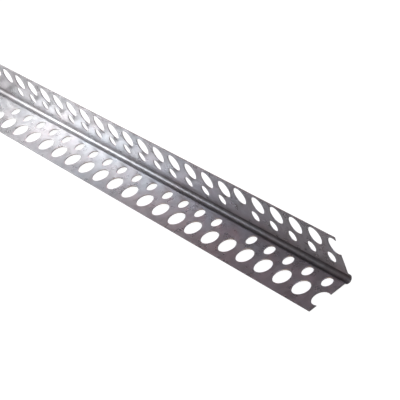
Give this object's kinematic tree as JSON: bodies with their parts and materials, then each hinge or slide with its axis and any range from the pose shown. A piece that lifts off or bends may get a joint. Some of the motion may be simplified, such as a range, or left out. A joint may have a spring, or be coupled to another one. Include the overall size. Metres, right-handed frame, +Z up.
{
  "type": "drywall corner bead",
  "caption": "Galvanised steel angle strip with a rounded nose and rows of keying and nail holes, which protects and straightens an outside drywall corner.",
  "frame": {"origin": "on the floor under the middle of the bead's box, lying unheld on the nose and on one flange's free edge", "axes": "+X along the stock, away from the end nearest the viewer in the picture; +Y from the upright flange toward the free edge of the one on the floor; +Z up"},
  "size_m": [2.438, 0.0334, 0.0335],
  "materials": {
    "zinc": "hot-dip galvanised, satin, faintly mottled"
  },
  "bodies": {
    "root": {"corner_bead": "zinc"}
  },
  "joints": []
}
